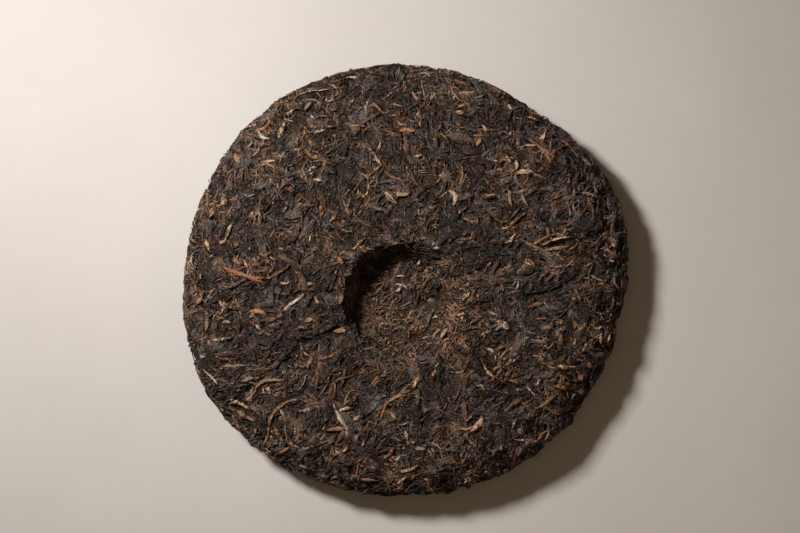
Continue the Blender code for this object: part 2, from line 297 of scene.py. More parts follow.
# Sections of a leaf from its right edge over the top to its left edge, for a half width of 1 and a
# half thickness of 1
ROLLED_TWICE = ((1, 0), (0.55, 1), (0.02, 0.1), (-0.5, 0.95), (-1, -0.1))
ROLLED_ONCE = ((1, -0.2), (0.62, 0.6), (0.05, 1), (-0.5, 0.55), (-1, 0))
FOLDED = ((1, 0.3), (0.35, 0.15), (-0.12, 1), (-0.6, 0.45), (-1, -0.3))
ROUND = ((1, 0), (0.31, 0.95), (-0.81, 0.59), (-0.81, -0.59), (0.31, -0.95))
FLAT = ((1, 0.4), (0.5, 0.8), (0, 0.35), (-0.55, 0.9), (-1, 0.3))
SHREDDED = ((1, -0.5), (0.05, 1), (-1, -0.5))
CRUMPLED = ((1, -0.1), (0.7, 0.9), (0.38, 0.1), (0.02, 1), (-0.35, 0), (-0.68, 0.85), (-1, -0.2))
CREASED = ((1, 0.3), (0.6, 0.2), (0.4, 1), (0, 0.3), (-0.25, 0.7), (-0.7, 0.4), (-1, -0.4))

# Kinds of leaf: how many, their lengths and widths in millimetres, their thickness for their width,
# the most they bend and twist in degrees, how pointed their ends are, how high they lie in
# millimetres, how patchily they are spread, how much more often they lie in the scuffed dimple and
# at the rim, their mean tone, their roughness from hollow to ridge, their gloss, how many stations
# they have along their length, and their sections
KINDS = {
    "broad_leaves": dict(
        count=2100, length=(5, 16), width=(1.8, 4.2), thick=(0.16, 0.3), bend=110, twist=50,
        point=(0.1, 0.4), depth=(-0.4, 0.05), patchy=-0.4, scuffed=0.7, rim=1, tone=0.47,
        rough=(0.52, 0.34), gloss=0.5, stations=8, sections=(CRUMPLED, CREASED),
    ),
    "dark_leaves": dict(
        count=2700, length=(6, 22), width=(0.7, 2), thick=(0.35, 0.6), bend=170, twist=150,
        point=(0.15, 0.5), depth=(-0.6, 0.05), patchy=-0.4, scuffed=0.9, rim=1, tone=0.45,
        rough=(0.5, 0.3), gloss=0.55, stations=8, sections=(ROLLED_TWICE, ROLLED_ONCE, FOLDED),
    ),
    "umber_leaves": dict(
        count=2600, length=(5, 19), width=(0.7, 1.9), thick=(0.35, 0.6), bend=190, twist=150,
        point=(0.15, 0.5), depth=(-0.6, 0), patchy=0.3, scuffed=1, rim=1, tone=0.46,
        rough=(0.4, 0.66), gloss=0.35, stations=8, sections=(ROLLED_TWICE, FOLDED, ROLLED_ONCE),
    ),
    "brown_leaves": dict(
        count=1800, length=(4, 15), width=(0.6, 1.7), thick=(0.35, 0.6), bend=220, twist=170,
        point=(0.2, 0.6), depth=(-0.45, 0.08), patchy=2.6, scuffed=1.3, rim=1.7, tone=0.55,
        rough=(0.45, 0.7), gloss=0.3, stations=8, sections=(ROLLED_ONCE, ROLLED_TWICE, FOLDED),
    ),
    "golden_buds": dict(
        count=1000, length=(2.5, 10), width=(0.5, 1.5), thick=(0.4, 0.7), bend=215, twist=160,
        point=(0.2, 0.6), depth=(-0.45, 0.1), patchy=3.4, scuffed=1.2, rim=2, tone=0.47,
        rough=(0.55, 0.8), gloss=0.25, stations=8, sections=(ROLLED_TWICE, FOLDED, ROLLED_ONCE),
    ),
    "stems": dict(
        count=240, length=(5, 16), width=(0.7, 1.2), thick=(0.7, 0.9), bend=60, twist=40,
        point=(0.15, 0.3), depth=(-0.7, -0.05), patchy=0.8, scuffed=0.8, rim=1.5, tone=0.5,
        rough=(0.4, 0.65), gloss=0.35, stations=8, sections=(ROUND,),
    ),
    "broken_flakes": dict(
        count=800, length=(1.4, 4.5), width=(0.9, 2.4), thick=(0.15, 0.3), bend=70, twist=70,
        point=(0.3, 0.6), depth=(-0.4, 0.05), patchy=2, scuffed=3, rim=1.2, tone=0.42,
        rough=(0.5, 0.75), gloss=0.3, stations=7, sections=(FLAT, FOLDED),
    ),
    "leaf_shreds": dict(
        count=6600, length=(2, 11), width=(0.4, 1), thick=(0.4, 0.7), bend=215, twist=60,
        point=(0.2, 0.6), depth=(-0.25, 0.15), patchy=1.1, scuffed=2, rim=1.3, tone=0.43,
        rough=(0.42, 0.7), gloss=0.35, stations=7, sections=(SHREDDED,),
    ),
}

# Shades of the leaves that stand out: the kind that each belongs to, its tone and its warmth
SHADES = {
    "cream": ("golden_buds", 0.66, 0.35),
    "tan": ("golden_buds", 0.53, 0.55),
    "orange": ("golden_buds", 0.46, 1.15),
    "rust": ("brown_leaves", 0.83, 1.1),
    "fawn": ("brown_leaves", 0.95, 0.3),
    "red": ("stems", 0.8, 1.1),
    "flake": ("broken_flakes", 0.95, 0.4),
}
# The leaves that stand out in the photograph, by shade: where each starts, the way it heads in
# degrees, its length, how many degrees it bends and its width. Places and sizes are in millimetres.
SHOWN_LEAVES = {
    "cream": (
        (46, 79, -65, 3.2, 0, 1.2), (-65, 30, -42, 7.5, -110, 1.7), (-75, 26, 235, 13, 50, 1.6),
        (-71, 36.5, -10, 5.5, 30, 1.4), (-70.8, 8, -65, 4, 0, 1.1), (-68.5, -18, 40, 4, -20, 1.7),
        (-80.5, -19.5, 6, 4, 0, 1.9), (-66.5, -20.5, -10, 4.5, -60, 1.2), (-23, -63, 27, 5, 10, 1.3),
        (36, -31, -40, 3.9, 0, 1.4), (48.5, -49, -5, 3.9, 0, 1.3), (-43, -2.5, -15, 3.9, 0, 1.4),
        (-26, 20, 0, 3.2, 0, 1.2), (43, -19.5, -55, 4.5, 0, 2.8), (0.5, -67, -75, 3.9, 0, 1.4),
        (93, -13, 0, 2.3, 0, 0.8),
    ),
    "tan": (
        (-64, 51.5, 10, 8.5, -20, 1.5), (4, 53, 5, 4.5, 0, 1.4), (41.5, 70.5, -20, 4, 20, 1.9),
        (44.5, 71, -68, 4.5, 0, 1.3), (39.5, 27.5, -95, 8.5, 120, 1.6), (65.5, 4, 22, 4.5, 0, 1.2),
        (93, 21, -50, 6, -40, 1.4), (84, 42, -65, 4.5, 0, 1.8), (86.5, 25.5, -80, 3.9, 0, 1.3),
        (-24, 11, 47, 10, 0, 1.4), (12, 12.5, 5, 3.9, 0, 1.4), (-66, 30.5, -112, 8, 10, 1.2),
        (-55, -2, -20, 5, 40, 1.5), (-82.5, -9.5, -50, 6.5, -15, 1.2), (-85.5, -27.5, -5, 9, 25, 1.4),
        (-94.5, -36, 5, 4, 0, 2.3), (-61.5, -49, 40, 4.5, -150, 1.5), (-18, -70, -85, 4, 0, 1.3),
        (-27, -76.5, 30, 4, 0, 1.2), (3.5, -52, -5, 5, 0, 1.6), (-3, -92.5, 37, 6, 0, 1.3),
        (47, -70.5, -40, 7.5, 80, 1.4), (33.5, -25.5, 32, 5.5, 0, 0.9), (60.5, -37, -35, 15.5, 65, 1.7),
        (46.5, -37.5, 17, 5, 0, 1), (93, -26, -110, 4.5, 0, 1.1), (65.5, -20, 0, 4.2, 0, 1.5),
        (14.5, -26, 60, 7, 10, 2), (-4.5, -7, 35, 6, 10, 1.5), (-48, -22, 5, 6, 15, 1.5),
        (-36.5, -24, 35, 8, 10, 1.7), (13, 4, 25, 6, 0, 1.2),
    ),
    "orange": (
        (-49.5, 76.5, 20, 4.5, -90, 1.5), (0, 89.5, 0, 6, 10, 1.5), (24, 82.5, 0, 7.5, 5, 1.6),
        (21.5, 73, -10, 5, 20, 2.2), (63, 66.5, -100, 5, 20, 2), (90, 18, -60, 6, 0, 1.8),
        (49, 51.5, -80, 5, 5, 1.7), (44.5, 53.5, -60, 4, 20, 1.4), (-81, 37, -60, 4.5, 0, 2.7),
        (-88.5, 17.5, -92, 7, 0, 2.4), (-54.5, 28.5, 35, 4, 0, 2), (-41, 43, 10, 5, -30, 1.9),
        (-94, -2.5, 57, 6.5, 20, 1.9), (-75, -31.5, 60, 3.2, 0, 1.2), (-48.5, -86, -20, 4, 0, 1.7),
        (26, -63.5, 32, 5, 0, 1.3), (33, -80, -75, 5, 0, 1.9), (38.5, -76.5, -80, 3.9, 0, 1.4),
        (42, -72, -80, 4.5, 20, 1.5), (35.5, -15, -15, 8, -25, 2.3), (41, -18.5, -80, 4, 0, 1.3),
        (73.5, -7.5, -75, 4.5, 0, 2.4), (74.5, -26.5, -97, 4, -10, 1.7),
        (44.5, -44.5, -20, 5.5, -20, 1.7), (87, -26.5, -85, 4.5, 0, 1.5), (90, -29, -85, 4.5, 0, 1.6),
        (-36, 27, 75, 5, 30, 2.2), (-33, 24.5, 10, 4.5, 50, 1.8), (-39.5, -8.5, -60, 3.9, 0, 1.4),
        (24.5, -11, 60, 6, 20, 1.9), (22, -16.5, 20, 5, -30, 1.7), (20, -33, 15, 5, 0, 1.7),
        (-20, -33, 40, 6, -30, 1.6),
    ),
    "rust": (
        (-79.5, 57, -52, 6, 15, 2.5), (-14.5, 77.5, -52, 8.5, -15, 1.8), (-2.5, 64.5, 10, 8, 0, 2.1),
        (-6.5, 76.5, -8, 6, 0, 1.7), (69.5, 62, -28, 9, -10, 1.9), (78.5, 57, -52, 8, -10, 1.7),
        (-52.5, 40, -30, 4, 0, 2.4), (-68.5, -15, 18, 8.5, -10, 1.9), (-59.5, -66.5, 95, 20, -120, 1.7),
        (53.5, -14, 32, 7.5, 0, 1.6), (59.5, -23, 22, 4.5, 10, 2.1), (77, -42, -75, 4.5, 0, 2.3),
        (-19, -91, -8, 8, 0, 1.7), (31.5, 57.5, 60, 4, 0, 1.9), (-31.5, -24, 15, 6, 0, 2.4),
        (-28.5, -12, 70, 8, 20, 2.2),
    ),
    "fawn": (
        (5.5, 75, -70, 6, 20, 1.9), (77, 37, 0, 10, -20, 1.4), (-86, 32, -95, 5, 0, 2.3),
        (-88.5, -14, -75, 10, -25, 1.8), (-95, -13, 65, 8, 0, 2), (73, -19, -58, 6, 30, 1.4),
        (76, -23.5, 42, 5.5, 0, 1.4), (68.5, -25, -90, 4, 0, 2.2), (-14, 30.5, -20, 6.5, 20, 1.4),
        (78, -33.5, 50, 5, 0, 1.8),
    ),
    "red": (
        (-81, 5, -22, 22.5, 44, 1.7), (88.5, 12.5, -42, 7, 0, 1.3), (23, 90.5, -20, 6, -50, 1.3),
        (-29, 9, -60, 4, 20, 2.2), (40.5, 47.5, -45, 3, 0, 1.7), (-10.5, -63, 78, 10, -55, 1.2),
        (57, -18.5, 0, 5, -10, 1.1), (-57.5, -79.5, 15, 6, 40, 1.3), (81, -37.5, -45, 3, 0, 1.3),
        (51.5, -54.5, -55, 3.5, 0, 1.2),
    ),
    "flake": (
        (-4.5, 36.5, -5, 6.7, 0, 2.9), (-34.5, 78.5, 0, 3.2, 0, 1.2), (-71, 59.5, 40, 3.2, 0, 1.2),
        (-82.5, 15, 10, 3.9, 0, 1.4), (-72, -45.5, 20, 5.5, 0, 2.5), (6.5, 17, 0, 3.9, 0, 1.4),
        (4.5, -74.5, -15, 4.5, 0, 1.6), (39.5, -23.5, 30, 3.9, 0, 1.4), (-44, -19.5, 15, 4, 0, 2),
    ),
}
# The long ones, by shade: the width of each, then across and up of each place on its way
LONG_LEAVES = {
    "cream": (
        (1.6, -93, -39.5, -90.5, -43, -87, -48), (1.9, -69, 69, -67.5, 66, -66, 64.5, -62.5, 64),
        (1.6, -31, -54.5, -30, -59, -27, -63, -25, -66, -25, -70, -26, -73),
        (1.5, -49.5, -57.5, -46, -58.5, -42, -58, -39, -57), (1.8, 19, 38, 22.5, 37, 23, 34, 21, 31),
        (1.7, -54, -15.5, -49, -12, -44, -9, -42.5, -8), (1.1, 55, 74, 58, 73.5, 61, 72),
    ),
    "tan": (
        (1.5, 39.5, 24.5, 39, 22, 41, 20, 44, 20, 47, 22, 50, 24, 53, 25, 56, 25.5),
        (1.2, 24, 16.5, 28, 16, 32, 16.5), (2.4, 33, 36, 37, 35.5, 40, 37),
        (1.7, -80, -57, -77, -54.5, -73, -55, -69, -56), (1.9, -79.5, -62, -77, -65, -74, -68, -72, -69),
        (1.9, -29, -58.5, -26, -57.5, -22, -57), (1.5, 33.5, 68, 36, 66, 37.5, 62, 37.5, 60.5),
        (1.3, 50, 57, 55, 58.5, 60, 58.5), (1.4, 7, 94.5, 10, 94, 12, 92),
        (2.5, -56, 61, -54.5, 65, -53, 69), (1.7, -45, 65, -42, 64, -38, 64.5, -34, 66),
        (1.2, -35, 66.5, -31, 66.5, -27.5, 67), (1.1, -24, 67, -20, 67, -17, 67),
        (1.5, -50, 84.5, -44, 86.5, -38, 88, -33, 89.5), (1.4, -30, 92.5, -25, 93.5, -20, 93.5),
        (2, -17.5, 58, -14, 56, -11, 52, -8.5, 49.5), (1.5, -10.5, 60.5, -10.5, 57, -11.5, 54.5),
        (1.6, -9, 39, -7.5, 36, -5.5, 33.5, -3, 32), (1.6, 60.5, -37, 64, -40, 68, -41),
        (1, 19, -41, 22, -42, 26, -41.5, 27.5, -38), (1.5, 30.5, -48, 32.5, -47, 34, -48.5, 35.5, -50),
        (1.4, -3, -86, 3, -84.5, 5.5, -82), (1.5, -62, -1, -57, 1, -52, 5, -50, 8),
        (1.7, 17.5, 52, 17.5, 48, 14, 44, 11, 41.5),
    ),
    "orange": (
        (1.4, 59, 12.5, 63, 15, 67, 16.5, 71, 17.5, 76, 16.8), (1.4, 43, 15, 46, 14.5, 48, 17, 50, 18),
        (1.9, -80, -57.5, -76, -59, -72, -61, -67, -63), (2.2, -57.5, -65, -56, -69, -53, -72),
        (1.5, -52, -72.5, -48, -74.5, -45, -76.5), (1.6, -25, 75.5, -23.5, 78, -22, 79),
        (1.5, -16, 44, -13, 47, -9.5, 50), (2.1, 4, -49, 5, -45, 6.5, -43),
        (1.7, 12.5, -45, 12.5, -42, 14.5, -40.5), (1.8, 33, -35, 34.5, -39, 36, -43, 40, -46, 43, -49),
        (2.2, 64.5, -48, 67, -47.5, 72, -49), (2.1, 27, -68, 30, -67, 33.5, -64, 35, -60),
        (1.8, 62, -64, 63.5, -68, 61, -73), (2.1, 48, 45, 53, 46, 58, 45.5),
    ),
    "rust": (
        (1.1, 55, 13, 60, 16, 65, 18.5, 70, 19), (1.2, 60, 11, 66, 13, 72, 15),
        (1.1, 70, 4, 73, 6, 76, 8), (1.6, -60, -61, -59.5, -66, -60, -72, -62, -76),
        (1.8, -35, -67, -30, -66, -25, -65.5), (1.5, -38, -36, -33, -35, -30, -32, -26, -30),
        (1.6, -68.5, 69, -65, 68, -62.5, 70, -62.5, 73, -65, 74), (2, 60, 58.5, 63, 55.5, 68, 54),
        (1.5, 23, -66.5, 28, -66, 31, -64), (1.2, -9.5, -57, -4, -52, 1, -51.5),
        (2.1, -44, 57, -42, 53, -38, 52), (1.7, 52, 62, 57, 60, 62, 55, 66, 50),
    ),
    "fawn": (
        (1.2, 50, 17, 53, 15, 57, 13.5, 62, 12), (1, 72, 12, 74.5, 13, 76, 15),
        (1.6, 46, 38, 46, 33, 48, 31), (1.6, 51, 37, 52, 33, 54, 31),
        (1.5, -81, -39.5, -75, -38.5, -68, -38),
        (1.5, -66, -49, -64, -47, -61, -45, -56, -45.5, -52, -46),
        (0.9, -50, -51, -46, -49.5, -43, -46, -42, -43), (0.9, -32, -48, -31, -46, -28, -43.5, -25, -43),
        (1.5, -46, -76.5, -41, -75, -37, -73.5, -31, -72), (0.9, 20, 88, 21, 84, 24, 80, 26, 78),
        (0.9, 7, 88, 9, 84, 10, 80, 11, 78), (0.9, 31, 80, 34, 80, 36, 82.5),
        (1.5, -45, 74.5, -43.5, 78, -42.5, 80), (1, -49, 82, -43, 81.5, -39, 80.5),
        (1.2, -39, 79.5, -37, 77, -35.5, 75.5), (1.3, -20, 46, -17, 45, -15.5, 43),
        (1, -27, 35, -26.5, 32, -25.5, 29.5, -24.5, 27), (1.6, -10, -80, -7, -77.5, -4, -74),
        (1.5, 61, -74, 65, -70.5, 67, -69.5), (1.9, 57, -58, 61, -56, 67, -51.5), (1, 59.5, -0.5, 62, 2),
        (0.9, 62, -2, 64, -0.5, 66, 1),
    ),
    "red": (
        (1.7, -81, 5, -74, 2.5, -68, 1.8, -60, 3.5), (1.2, -8, 45, -5, 43.5, 0, 42.5),
    ),
}
# How often and how far a route's corners are cut, and how high, wide and curled those that stand
# out are laid over the rest
LONG_EASINGS = 2
CORNER_CUT = 0.25
SHOWN_DEPTH = 0.36 * MM
SHOWN_DIP = 0.5
SHOWN_WIDTH = 1.12
SHOWN_CURL = math.radians(24)
SHOWN_STAND = 0.6 * MM

# How leaves bunch: the odds of one to five lying together, and how alike those in a bunch lie
BUNCH_ODDS = (0.32, 0.22, 0.19, 0.15, 0.12)
BUNCH_ACROSS = 1.3 * MM
BUNCH_ALONG = 2.5 * MM
BUNCH_TURN = math.radians(11)
# How thinly the front is strewn beside the back, and the length over which kinds come and go
FRONT_SHARE = 0.6
FRONT_FACING = -0.3
PATCH_LENGTH = 11 * MM
PATCH_SHIFT = Vector((2, 5, 7))
RIM_START = 0.6
RIM_GROWS = 0.25
# How far leaves may stand out of the pressed mat, and on the loose rim
PRESSED_FLAT = 0.42 * MM
LOOSE_STAND = 1.5 * MM
LOOSE_DEPTH = 1.1 * MM
# Leaves go over and under one another by this much, and their ends dip by this much
WAVE_HEIGHT = (0.02 * MM, 0.22 * MM)
END_DIP = (0.15 * MM, 0.75 * MM)
DIP_REACH = 0.3
# Loose ends: the odds in the pressed mat and on the loose rim, and how steeply they rise
LOOSE_ODDS = (0.06, 0.6)
LOOSE_RISE = (0.02, 0.36)
LOOSE_STEPS = 2
# Where leaves lie alike: the length over which their direction wanders, and how much it varies
GRAIN_LENGTH = 17 * MM
GRAIN_TURNS = 1.8
GRAIN_SPREAD = math.radians(31)
WOBBLE = 0.13
# How bends are drawn: the part of an arch that they follow along the leaf, how many come near the most,
# how far they move to one end, and how many are S shapes
ARC_PART = (0.1, 0.9)
BEND_POWER = 0.4
HOOK_REACH = 1.6
S_ODDS = 0.3
# How lengths and widths are drawn, as beta shapes, and how lengths in a bunch differ
LENGTH_SHAPE = (1.5, 2.6)
WIDTH_SHAPE = (1.4, 2.4)
LENGTH_SPREAD = (0.75, 1.2)
# How a leaf is fullest before or after its middle, how its width and section waver, and its roll
LEAN = (0.75, 1.35)
WIDTH_WAVER = (0.72, 1.25)
SECTION_WAVER = 0.1
ROLL_SPREAD = math.radians(16)
WAVES_ALONG = (0.5, 1.6)
# Furrows that folds of the cloth pressed: how deep beside the deepest, half width, and the places that
# each runs through, in millimetres
FURROWS = (
    (0.8, 0.6, ((-28, -6.2), (-44, -6), (-62, -5), (-87, -4))),
    (1, 1, ((-24, -21), (-35, -24.5), (-45, -29), (-53, -37), (-60, -43), (-73, -51))),
    (0.7, 0.7, ((-45, -29), (-58, -27.4), (-73, -24.5), (-91, -25.6))),
    (0.7, 0.6, ((-60, -35.5), (-78, -37.5), (-94, -39))),
    (0.9, 0.8, ((6, 12), (16, 11), (29, 11.3), (41, 13.6), (54, 12.4), (62, 13.4), (73, 13), (86, 20))),
    (0.8, 0.8, ((30, -12), (52, -8.2), (67, -4.8), (77, 0.5))),
    (1.2, 1.7, ((7.5, -9.5), (11, -7.8), (15, -6.4))), (1.2, 1.3, ((1, -28.2), (4.8, -25.2))),
    (0.9, 0.8, ((17.5, -35), (16, -42), (16, -50))),
    (0.8, 0.8, ((-20, -31), (-27, -36), (-33, -45), (-34, -55))),
    (0.6, 0.7, ((8, -38), (8, -58), (10, -72))), (0.6, 0.7, ((28, -30), (44, -45), (56, -54))),
    (0.5, 0.7, ((-22, 14), (-29, 30), (-33, 44))), (0.5, 0.7, ((17, 14), (30, 34), (38, 50))),
)
FURROW_DEPTH = 1.4 * MM
CORE_FURROW_DEPTH = 1.3 * MM
FURROW_WAVER = 2.4 * MM
FURROW_WAVE = 9 * MM
# Leaves within this reach of a furrow follow it, and are darkened by painted shade
FURROW_REACH = 2.6 * MM
FURROW_HOLDS = 0.35
FURROW_SPREAD = math.radians(11)
FURROW_PAINTED_SHADE = 0.6
# Deep parts of a leaf are darkened by painted shade
DEEP_REACH = 0.9 * MM
DEEP_PAINTED_SHADE = 0.3
# On the floor of the dimple the leaves lie one way, and it and its ramp are scuffed and lighter, partly
# from dust and partly from painted light where the ramp faces the lamp
FLOOR_DEPTH = 4 * MM
DIMPLE_LOWEST = 8 * MM
FLOOR_GRAIN = math.radians(35)
FLOOR_SPREAD = 2.2
SCUFF_CENTRE = (12 * MM, -18 * MM)
SCUFF_RADIUS = 32 * MM
SCUFF_FADE = 16 * MM
SCUFF_DUST_AND_PAINTED_LIGHT = 0.38
SCUFF_SHORT = 0.45
SCUFF_WARM = 0.45
# How leaves in a bunch differ, the painted highlight on ridges and painted shade on undersides, how much
# lighter some tips are, and the painted shade at both ends
TONE_SPREAD = 0.2
BUNCH_TONES = 0.85
RIDGE_PAINTED_SHADING = 0.24
TIP_LIGHT = 0.4
TIP_ODDS = 0.25
END_PAINTED_SHADE = 0.35
# On the flat spot below, leaves are pressed level at a height that differs from leaf to leaf
LOWEST_LEAF = (0.02 * MM, 0.25 * MM)
BOX_CLEAR = 0.05 * MM
# Headings are measured from +X, or from +Y where a surface faces left or right by more than this
FACES_RIGHT = 0.8
# The least length that a vector is divided by
NEVER_ZERO = 1e-12
# A leaf's maps: how far round its section is for its width, how far off the first map may start, and
# the edge left free in each leaf's cell of the other
GIRTH = 2.3
MAP_START = 400
CELL_EDGE = 0.07


def spread(rings, weights, count, draw):
    """Places spread over the surface of the rings, for its area and these weights of its cells."""
    ahead = rings[1:] - rings[:-1]
    beside = np.roll(rings, -1, axis=1)[:-1] - rings[:-1]
    areas = np.linalg.norm(np.cross(ahead, beside), axis=2) * weights
    run = np.cumsum(areas.ravel())
    picked = np.searchsorted(run, (np.arange(count) + draw.random(count)) / count * run[-1])
    ring, point = np.divmod(np.minimum(picked, len(run) - 1), RING_POINTS)
    along, around = draw.random((2, count, 1))
    return rings[ring, point] + ahead[ring, point] * along + beside[ring, point] * around


def scuffing(places):
    """How scuffed the back is, which also sets where painted light lightens the dimple: 1 on the floor and
    the ramp of the dimple, 0 away from it.
    """
    away = np.hypot(places[..., 0] - SCUFF_CENTRE[0], places[..., 1] - SCUFF_CENTRE[1])
    return smooth_step((SCUFF_RADIUS - away) / SCUFF_FADE) * (places[..., 2] > DIMPLE_LOWEST)


def furrow_at(places):
    """How deep in a furrow each place lies, how near one it is, and the way that furrow runs."""
    waver = FURROW_WAVER * noise_at(places.reshape(-1, 3), FURROW_WAVE).reshape(places.shape[:-1])
    x, y = places[..., 0] + waver, places[..., 1] + waver
    deepest, nearest, heading = np.zeros(x.shape), np.zeros(x.shape), np.zeros(x.shape)
    above = places[..., 2] > DIMPLE_LOWEST
    for depth, half_width, route in FURROWS:
        for (x0, y0), (x1, y1) in zip(route[:-1], route[1:]):
            step_x, step_y = (x1 - x0) * MM, (y1 - y0) * MM
            from_x, from_y = x - x0 * MM, y - y0 * MM
            share = ((from_x * step_x + from_y * step_y) / (step_x**2 + step_y**2)).clip(0, 1)
            aside = np.hypot(from_x - share * step_x, from_y - share * step_y)
            near = above * depth * np.exp(-((aside / FURROW_REACH) ** 2))
            heading = np.where(near > nearest, math.atan2(step_y, step_x), heading)
            nearest = np.maximum(nearest, near)
            deepest = np.maximum(deepest, above * depth * np.exp(-((aside / (half_width * MM)) ** 2)))
    return deepest, nearest, heading


def strewn(rings, normals, kind):
    """How thickly each cell of the rings is strewn with one kind of leaf."""
    cells = rings[:-1].reshape(-1, 3)
    weights = np.exp(kind["patchy"] * noise_at(cells, PATCH_LENGTH, PATCH_SHIFT))
    weights *= 1 + (kind["scuffed"] - 1) * scuffing(cells)
    share = np.hypot(cells[:, 0], cells[:, 1]) / DISC_RADIUS
    weights *= 1 + (kind["rim"] - 1) * smooth_step((share - RIM_START) / RIM_GROWS)
    weights *= np.where(normals[:-1, :, 2].ravel() < FRONT_FACING, FRONT_SHARE, 1)
    return weights.reshape(rings.shape[0] - 1, -1)


def nearest_on(surface, places):
    """The nearest place and its outward normal for each place."""
    found = [surface.find_nearest(place)[:2] for place in places.tolist()]
    return np.array([f[0] for f in found]), np.array([f[1] for f in found])


def unit(vectors):
    return vectors / np.maximum(np.linalg.norm(vectors, axis=-1, keepdims=True), NEVER_ZERO)


def flat_on(normals, directions):
    """The directions laid flat on the surface that has these normals."""
    return unit(directions - normals * np.sum(normals * directions, axis=-1, keepdims=True))


def turned(directions, normals, angles):
    """The directions turned round these normals."""
    angles = angles[:, None]
    return directions * np.cos(angles) + np.cross(normals, directions) * np.sin(angles)


def station_shares(stations):
    """How far along a leaf each station is, closer together at its ends."""
    return 0.5 - 0.5 * np.cos(math.pi * np.linspace(0, 1, stations))


def lay_routes(surface, leaves):
    """Places, normals and directions of leaves that follow the surface, each (stations, leaves, 3)."""
    places, normals = nearest_on(surface, leaves["starts"])
    level = np.where(np.abs(normals[:, :1]) < FACES_RIGHT, (1, 0, 0), (0, 1, 0))
    ahead = turned(flat_on(normals, level), normals, leaves["headings"])
    route = [(places, normals, ahead)]
    bends = leaves["bends"].T
    shares = np.diff(station_shares(len(bends) + 1))
    for index, (bend, share) in enumerate(zip(bends, shares)):
        steps = (leaves["lengths"] * share)[:, None]
        free = leaves["rises"][:, None] * (index >= len(bends) - LOOSE_STEPS)
        onward = places + ahead * steps + normals * steps * free
        found, found_normals = nearest_on(surface, onward)
        places = np.where(free > 0, onward, found)
        normals = np.where(free > 0, normals, found_normals)
        ahead = flat_on(normals, turned(ahead, normals, bend))
        route.append((places, normals, ahead))
    return (np.array(part) for part in zip(*route))


def curved_bends(count, most, stations, draw):
    """How much each leaf turns at each station: arcs, hooks at one end and S shapes."""
    whole = np.radians(most) * draw.uniform(-1, 1, count) * draw.random(count) ** BEND_POWER
    steps = np.linspace(0, 1, stations - 1)[:, None]
    hook = draw.uniform(-HOOK_REACH, HOOK_REACH, count)
    arc = np.sin(math.pi * (ARC_PART[0] + (ARC_PART[1] - ARC_PART[0]) * steps))
    shape = np.exp(hook * (steps - 0.5) * 2) * arc
    reverse = np.where(draw.random(count) < S_ODDS, -1, 1)
    shape = np.where(steps > 0.5, shape * reverse, shape)
    return whole * shape / np.abs(shape).sum(axis=0)


def draw_leaves(rings, normals, kind, draw):
    """Where the leaves of one kind lie, and their lengths, widths, bends, tones and warmths."""
    count, stations = kind["count"], kind["stations"]
    sizes = draw.choice(len(BUNCH_ODDS), size=count, p=BUNCH_ODDS) + 1
    bunch = np.repeat(np.arange(count), sizes)[:count]
    bunches = bunch[-1] + 1
    places = spread(rings, strewn(rings, normals, kind), bunches, draw)
    grain = GRAIN_TURNS * math.pi * noise_at(places, GRAIN_LENGTH)
    headings = grain + draw.normal(0, GRAIN_SPREAD, bunches)
    headings = headings + math.pi * draw.integers(2, size=bunches)
    _, held, along_furrow = furrow_at(places)
    turns = draw.normal(0, FURROW_SPREAD, bunches)
    headings = np.where(held > FURROW_HOLDS, along_furrow + turns, headings)
    in_dimple = dimple_depth(places[:, 0], places[:, 1]) > FLOOR_DEPTH
    in_dimple &= places[:, 2] > DIMPLE_LOWEST
    headings = np.where(in_dimple, FLOOR_GRAIN + FLOOR_SPREAD * turns, headings)
    shortest, longest = kind["length"]
    lengths = shortest + (longest - shortest) * draw.beta(*LENGTH_SHAPE, bunches)
    bends = curved_bends(bunches, kind["bend"], stations, draw)
    tones, warmths = draw.random((2, bunches))
    tones = kind["tone"] + BUNCH_TONES * (tones - 0.5)
    scuffs = scuffing(places)
    # Painted shade darkens leaves near a furrow, and the scuffed dimple is lighter, partly from its dust
    # and partly from painted light
    tones = tones - FURROW_PAINTED_SHADE * held + SCUFF_DUST_AND_PAINTED_LIGHT * scuffs
    lengths = lengths * (1 - SCUFF_SHORT * scuffs)
    warmths = warmths + SCUFF_WARM * scuffs
    headings = headings[bunch] + draw.normal(0, BUNCH_TURN, count)
    along = np.column_stack((np.cos(headings), np.sin(headings), np.zeros(count)))
    across = np.column_stack((-along[:, 1], along[:, 0], np.zeros(count)))
    starts = places[bunch] - along * (0.5 * lengths[bunch] * MM)[:, None]
    starts = starts + along * draw.normal(0, BUNCH_ALONG, (count, 1))
    starts = starts + across * draw.normal(0, BUNCH_ACROSS, (count, 1))
    thinnest, widest = kind["width"]
    odds = LOOSE_ODDS[0] + (LOOSE_ODDS[1] - LOOSE_ODDS[0]) * looseness(places[bunch])
    loose = draw.random(count) < odds
    return dict(
        starts=starts,
        headings=headings,
        lengths=lengths[bunch] * draw.uniform(*LENGTH_SPREAD, count) * MM,
        widths=(thinnest + (widest - thinnest) * draw.beta(*WIDTH_SHAPE, count)) * MM,
        bends=(bends[:, bunch] + draw.normal(0, WOBBLE, (stations - 1, count))).T,
        rises=np.where(loose, draw.uniform(*LOOSE_RISE, count), 0),
        tones=tones[bunch] + TONE_SPREAD * draw.uniform(-1, 1, count),
        warmths=warmths[bunch] + TONE_SPREAD * draw.uniform(-1, 1, count),
        depths=draw.uniform(*kind["depth"], count) * MM,
        stands=np.full(count, PRESSED_FLAT),
        dips=np.ones(count),
    )


def eased(route):
    """The route with its corners cut, and then the new corners cut again."""
    for _ in range(LONG_EASINGS):
        near = (1 - CORNER_CUT) * route[:-1] + CORNER_CUT * route[1:]
        far = CORNER_CUT * route[:-1] + (1 - CORNER_CUT) * route[1:]
        between = np.stack((near, far), axis=1).reshape(-1, 2)
        route = np.concatenate((route[:1], between, route[-1:]))
    return route


